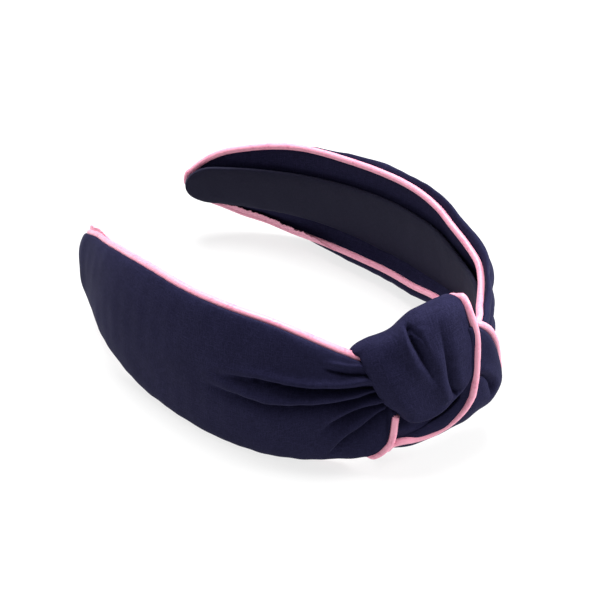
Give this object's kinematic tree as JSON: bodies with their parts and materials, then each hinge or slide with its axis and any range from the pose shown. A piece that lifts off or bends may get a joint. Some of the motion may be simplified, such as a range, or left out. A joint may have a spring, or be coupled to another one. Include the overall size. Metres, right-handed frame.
{
  "type": "knotted headband",
  "caption": "Padded fabric headband on a covered sprung hoop, gathered into an off-centre wrapped knot at the crown, with contrast satin piping along its edges.",
  "frame": {"origin": "centre of the bounding box at its base, with the headband lying on its side", "axes": "+Z square to the plane of the hoop, +Y from the knot towards the open tips, +X towards the right arm"},
  "size_m": [0.1206, 0.1639, 0.0604],
  "materials": {
    "crepe": "matte woven crepe",
    "lining": "smooth matte crepe lining",
    "satin": "satin, soft sheen",
    "wadding": "polyester wadding, matte",
    "thread": "sewing thread",
    "hoop_plastic": "moulded, matte"
  },
  "bodies": {
    "crown": {"core_crown": "hoop_plastic", "sleeve_crown": "lining", "sash_crown": "crepe", "piping_crown_upper": "satin", "piping_crown_lower": "satin", "knot_wrap": "crepe", "knot_wrap_piping": "satin", "knot_strand": "crepe", "knot_strand_piping": "satin", "knot_wadding": "wadding", "knot_stitches": "thread"},
    "left_arm": {"core_left": "hoop_plastic", "sleeve_left": "lining", "sash_outer_left": "crepe", "sash_facing_left": "crepe", "sash_padding_left": "wadding", "piping_upper_left": "satin", "piping_lower_left": "satin", "piping_flange_left": "satin", "tip_stitches_left": "thread"},
    "right_arm": {"core_right": "hoop_plastic", "sleeve_right": "lining", "sash_outer_right": "crepe", "sash_facing_right": "crepe", "sash_padding_right": "wadding", "piping_upper_right": "satin", "piping_lower_right": "satin", "piping_flange_right": "satin", "tip_stitches_right": "thread"}
  },
  "joints": [
    {"name": "left_flex", "type": "hinge", "parent": "crown", "child": "left_arm", "pos_m": [-0.0383, -0.0435, 0.0268], "axis": [0, 0, 1], "range_deg": [-3, 10], "stiffness_Nm_per_rad": 1.3},
    {"name": "right_flex", "type": "hinge", "parent": "crown", "child": "right_arm", "pos_m": [0.0383, -0.0435, 0.0268], "axis": [0, 0, -1], "range_deg": [-3, 10], "stiffness_Nm_per_rad": 1.3}
  ]
}
